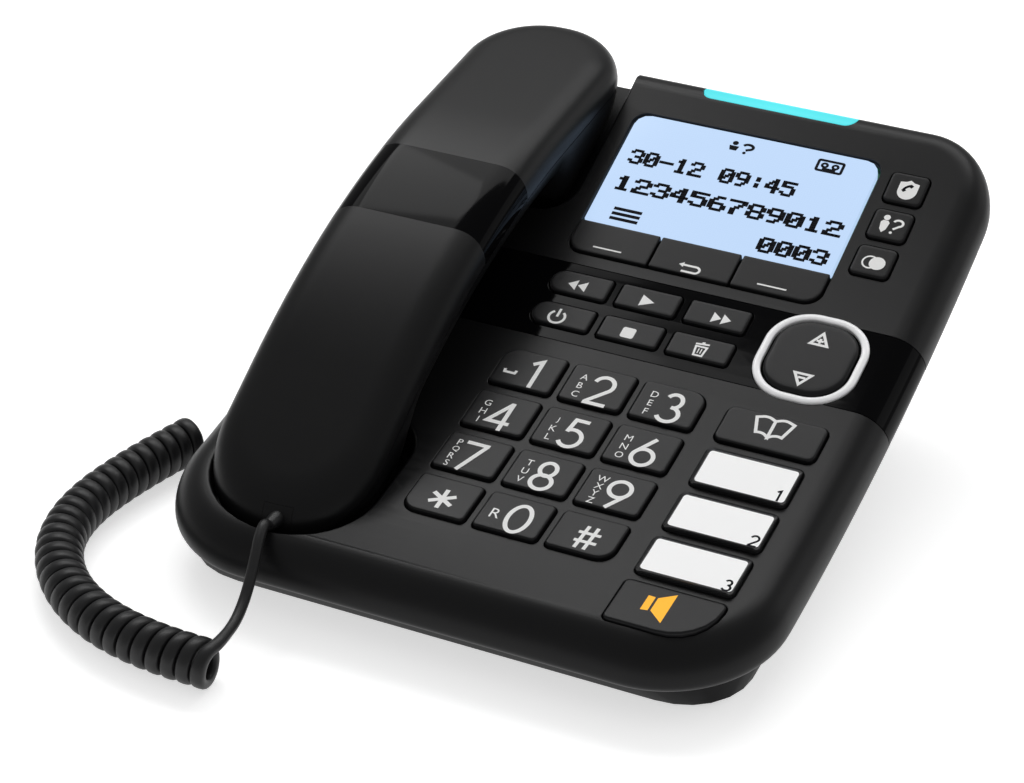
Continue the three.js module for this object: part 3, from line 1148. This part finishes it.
/** Inner shell of the handset with ear and mouth slots. */
function handsetInnerShell() {
  const seam = GAP;
  const body = handsetLowerBody(0, 0);
  const trim = solid(loft([
    handsetRing(-OVERRUN, UNDER_STATIONS, (y) => partingHeight(y) - seam),
    handsetRing(-OVERRUN, UNDER_STATIONS, (y) => partingHeight(y) + OVERRUN),
  ]));
  return cut(body, handsetLowerBody(HANDSET_WALL, OVERRUN), trim, handsetSocketRoom(),
    ...soundSlots(RECEIVER_SLOTS, RECEIVER_Y), ...soundSlots(MICROPHONE_SLOTS, MICROPHONE_Y));
}

/** Round capsule that lies on the inner shell's floor, turned to its slope. */
function capsule(name, y, radius, thickness) {
  const slope = angleAtY(y);
  const frame = new THREE.Matrix4().makeRotationX(slope);
  const rise = (HANDSET_WALL + GAP) / Math.cos(slope);
  const sag = (radius * radius) / (2 * ARC_RADIUS);
  frame.setPosition(HANDSET_X, y, handsetUnderside(y) + rise + sag);
  return placedPiece(name, disc(0, 0, radius, 0, thickness), STEEL, frame);
}

/** Hook plunger, held under the well floor by its flange. */
function hookPlunger() {
  const flangeTop = WELL_DEPTH + WALL + GAP + HOOK_TRAVEL;
  const flange = outline(HOOK_BOX, HOOK_RADII, -HOOK_FLANGE);
  const shaft = outline(HOOK_BOX, HOOK_RADII);
  return loft([
    lift(shaft, HOOK_STEM_BOTTOM), lift(shaft, below(flangeTop + HOOK_FLANGE_THICKNESS)),
    lift(flange, below(flangeTop + HOOK_FLANGE_THICKNESS)), lift(flange, below(flangeTop)),
    lift(shaft, below(flangeTop)), lift(shaft, below(WELL_DEPTH + HOOK_TOP_RECESS)),
  ]);
}

const COIL_RADIUS = (COIL_DIAMETER - CORD_DIAMETER) / 2;
const COIL_AXIS_HEIGHT = COIL_DIAMETER / 2 + COIL_FLOOR_GAP;
const UP = new THREE.Vector3(0, 0, 1);

/** Points of the curly cord: a helix round its route, with one straight step at each end. */
function coilPoints() {
  const axis = new THREE.CatmullRomCurve3(COIL_ROUTE.map(([x, y]) =>
    new THREE.Vector3(x, y, COIL_AXIS_HEIGHT)));
  const steps = COIL_TURNS * COIL_STEPS_PER_TURN;
  const helixAt = (share) => {
    const turn = -2 * Math.PI * COIL_TURNS * share;
    const side = axis.getTangentAt(share).cross(UP);
    const reach = side.multiplyScalar(Math.sin(turn)).addScaledVector(UP, Math.cos(turn));
    return axis.getPointAt(share).addScaledVector(reach.normalize(), COIL_RADIUS);
  };
  const points = Array.from({ length: steps + 1 }, (_, i) => helixAt(i / steps));
  const startSide = axis.getTangentAt(0).cross(UP);
  const endSide = axis.getTangentAt(1).cross(UP);
  points.unshift(points[0].clone().addScaledVector(startSide, CORD_DIAMETER));
  points.push(points[points.length - 1].clone().addScaledVector(endSide, CORD_DIAMETER));
  return points;
}

/** Tube of few sides through given points, closed at both ends. */
function tubeThrough(points, radius, sides) {
  const rings = [];
  let normal = UP.clone();
  points.forEach((point, i) => {
    const before = points[Math.max(i - 1, 0)];
    const after = points[Math.min(i + 1, points.length - 1)];
    const tangent = after.clone().sub(before).normalize();
    normal = normal.clone().addScaledVector(tangent, -normal.dot(tangent)).normalize();
    const across = tangent.clone().cross(normal);
    rings.push(Array.from({ length: sides }, (_, k) => {
      const turn = (2 * Math.PI * k) / sides;
      const offset = normal.clone().multiplyScalar(Math.cos(turn)).addScaledVector(across, Math.sin(turn));
      return point.clone().addScaledVector(offset, radius).toArray();
    }));
  });
  const index = [];
  for (let i = 0; i + 1 < rings.length; i += 1) {
    for (let k = 0; k < sides; k += 1) {
      const a = i * sides + k;
      const b = i * sides + ((k + 1) % sides);
      index.push(a, b, b + sides, a, b + sides, a + sides);
    }
  }
  const last = (rings.length - 1) * sides;
  for (let k = 1; k + 1 < sides; k += 1) {
    index.push(0, k + 1, k, last, last + k, last + k + 1);
  }
  const geometry = new THREE.BufferGeometry();
  geometry.setAttribute('position', new THREE.Float32BufferAttribute(rings.flat(2), 3));
  geometry.setIndex(index);
  return geometry;
}

/** Least distance between surface points of neighbouring curls. */
function leastCurlGap(geometry) {
  const place = geometry.attributes.position;
  const ring = COIL_SIDES;
  const apart = Math.round(COIL_STEPS_PER_TURN * 0.75) * ring;
  const a = new THREE.Vector3();
  const b = new THREE.Vector3();
  let least = Infinity;
  for (let i = 0; i < place.count; i += 1) {
    a.fromBufferAttribute(place, i);
    const end = Math.min(place.count, i + 2 * COIL_STEPS_PER_TURN * ring);
    for (let j = i + apart; j < end; j += 1) {
      least = Math.min(least, a.distanceTo(b.fromBufferAttribute(place, j)));
    }
  }
  return least;
}

/** Free stretch of cord through route points, as an extruded round section. */
function leadGeometry(points) {
  const path = new THREE.CatmullRomCurve3(points);
  const section = new THREE.Shape(Array.from({ length: LEAD_SIDES }, (_, k) => {
    const turn = (2 * Math.PI * k) / LEAD_SIDES;
    return new THREE.Vector2(Math.cos(turn), Math.sin(turn)).multiplyScalar(CORD_DIAMETER / 2);
  }));
  const steps = Math.ceil(path.getLength() / LEAD_STEP);
  return new THREE.ExtrudeGeometry(section, { steps, extrudePath: path, bevelEnabled: false });
}

/** Point in a frame, a distance out along its local Y. */
function outwardPoint(frame, distance) {
  return new THREE.Vector3(0, distance, 0).applyMatrix4(frame);
}

/** Route from one point to another that leaves and arrives straight over a cord's thickness. */
function leadRoute(start, startWay, middle, end, endWay) {
  const near = start.clone().addScaledVector(startWay, CORD_DIAMETER);
  const far = end.clone().addScaledVector(endWay, CORD_DIAMETER);
  return [start, near, ...middle.map((point) => new THREE.Vector3(...point)), far, end];
}


/** Frame of a plug whose boot starts a little outside a jack's face. */
function plugFrame(frame, out) {
  return frame.clone().multiply(new THREE.Matrix4().makeTranslation(0, out, 0));
}

/** The coil and both leads of the handset cord. */
function cordPieces() {
  const helix = coilPoints();
  const coil = tubeThrough(helix, CORD_DIAMETER / 2, COIL_SIDES);
  console.log(`least gap between curls: ${leastCurlGap(coil).toFixed(2)} mm`);
  const last = helix.length - 1;
  const startWay = helix[0].clone().sub(helix[1]).normalize();
  const endWay = helix[last].clone().sub(helix[last - 1]).normalize();
  const coilStart = helix[0].clone().addScaledVector(startWay, GAP);
  const coilEnd = helix[last].clone().addScaledVector(endWay, GAP);
  const handsetOut = outwardPoint(HANDSET_JACK_FRAME, 1).sub(outwardPoint(HANDSET_JACK_FRAME, 0));
  const baseOut = outwardPoint(BASE_JACK_FRAME, 1).sub(outwardPoint(BASE_JACK_FRAME, 0));
  const handsetLead = leadGeometry(leadRoute(
    outwardPoint(HANDSET_JACK_FRAME, GAP), handsetOut, HANDSET_LEAD_ROUTE, coilStart, startWay));
  const baseLead = leadGeometry(leadRoute(
    coilEnd, endWay, BASE_LEAD_ROUTE, outwardPoint(BASE_JACK_FRAME, PLUG_TAIL), baseOut));
  return [
    piece('cord_coil', coil, RUBBER),
    piece('cord_lead_handset', handsetLead, RUBBER),
    piece('cord_lead_base', baseLead, RUBBER),
  ];
}

const telephone = new THREE.Group();
telephone.position.set(0, -BASE_DEPTH / 2, 0);

telephone.add(
  piece('upper_housing', geometryOf(upperHousing()), PLASTIC),
  piece('lower_housing', geometryOf(lowerHousing()), PLASTIC),
  piece('gloss_band', geometryOf(glossBand()), GLOSS_PLASTIC),
  piece('light_bar', geometryOf(lightBar()), CYAN_PLASTIC),
  placedPiece('nav_ring', geometryOf(navRing()), WHITE_PLASTIC, RING_FRAME),
  placedPiece('nav_rocker', geometryOf(navRocker()), KEY_PLASTIC, RING_FRAME),
  placedPiece('display_window', displayWindow(), DISPLAY_GLOW, DISPLAY_FRAME),
  placedPiece('display_module', geometryOf(displayModule()), BOARD_GREEN, DISPLAY_FRAME),
);
for (const key of KEYS) {
  const frame = faceFrame(keyCentreX(key), keyCentreS(key));
  telephone.add(placedPiece(key.name, keyGeometry(key), key.look ?? KEY_PLASTIC, frame));
}
const MAT_BOX = planAbout(0, 0, BOARD_HALF_WIDTH - MAT_MARGIN, BOARD_LENGTH / 2 - MAT_MARGIN);
telephone.add(
  placedPiece('key_mat', prism(MAT_BOX, BOARD_RADII, -MAT_DEPTH - MAT_THICKNESS, -MAT_DEPTH),
    RUBBER, BOARD_FRAME),
  placedPiece('main_board', prism(BOARD_BOX, BOARD_RADII, BOARD_TOP - BOARD_THICKNESS, BOARD_TOP),
    BOARD_GREEN, BOARD_FRAME),
  piece('hook_plunger', hookPlunger(), KEY_PLASTIC),
  piece('hook_switch', block(planAbout(HANDSET_X, HOOK_Y, SWITCH_HALF_WIDTH, SWITCH_HALF_DEPTH),
    SWITCH_BOTTOM, SWITCH_BOTTOM + SWITCH_HEIGHT), KEY_PLASTIC),
  piece('base_loudspeaker', loudspeaker().translate(SPEAKER_X, SPEAKER_Y, FLOOR_TOP + GAP), STEEL),
);
for (const [name, [x, y]] of Object.entries(PAD_PLACES)) {
  telephone.add(piece(name, disc(x, y, PAD_RADIUS, 0, PAD_HEIGHT), RUBBER));
}
const lineSocket = mouthSocket(
  SOCKET_WIDTH, SOCKET_HEIGHT, SOCKET_LENGTH, LINE_MOUTH_WIDTH, LINE_MOUTH_HEIGHT, SOCKET_MOUTH_DEPTH);
const baseJack = mouthSocket(SOCKET_WIDTH, SOCKET_HEIGHT, SOCKET_LENGTH,
  JACK_MOUTH_WIDTH, JACK_MOUTH_HEIGHT, PLUG_LENGTH - PLUG_SEAT + GAP);
const handsetJack = mouthSocket(HANDSET_SOCKET_WIDTH, HANDSET_SOCKET_HEIGHT, HANDSET_SOCKET_LENGTH,
  PLUG_WIDTH + 2 * GAP, PLUG_HEIGHT + GAP, PLUG_LENGTH);
telephone.add(
  placedPiece('line_socket', geometryOf(lineSocket), KEY_PLASTIC, LINE_FRAME),
  placedPiece('power_socket', geometryOf(powerSocket()), KEY_PLASTIC, POWER_FRAME),
  placedPiece('handset_jack', geometryOf(baseJack), KEY_PLASTIC, BASE_JACK_FRAME),
  placedPiece('cord_plug_base', plug(), GLOSS_PLASTIC, plugFrame(BASE_JACK_FRAME, PLUG_SEAT)),
  placedPiece('handset_socket', geometryOf(handsetJack), KEY_PLASTIC,
    plugFrame(HANDSET_JACK_FRAME, -HANDSET_SOCKET_INSET)),
  placedPiece('cord_plug_handset', plug(), GLOSS_PLASTIC, plugFrame(HANDSET_JACK_FRAME, -PLUG_BOOT_LENGTH)),
  piece('handset_outer_shell', geometryOf(handsetOuterShell()), PLASTIC),
  piece('handset_inner_shell', geometryOf(handsetInnerShell()), PLASTIC),
  piece('handset_band', geometryOf(handsetBand()), GLOSS_PLASTIC),
  capsule('handset_receiver', RECEIVER_Y, RECEIVER_RADIUS, RECEIVER_THICKNESS),
  capsule('handset_microphone', MICROPHONE_Y, MICROPHONE_RADIUS, MICROPHONE_THICKNESS),
  ...cordPieces(),
);

export default telephone;
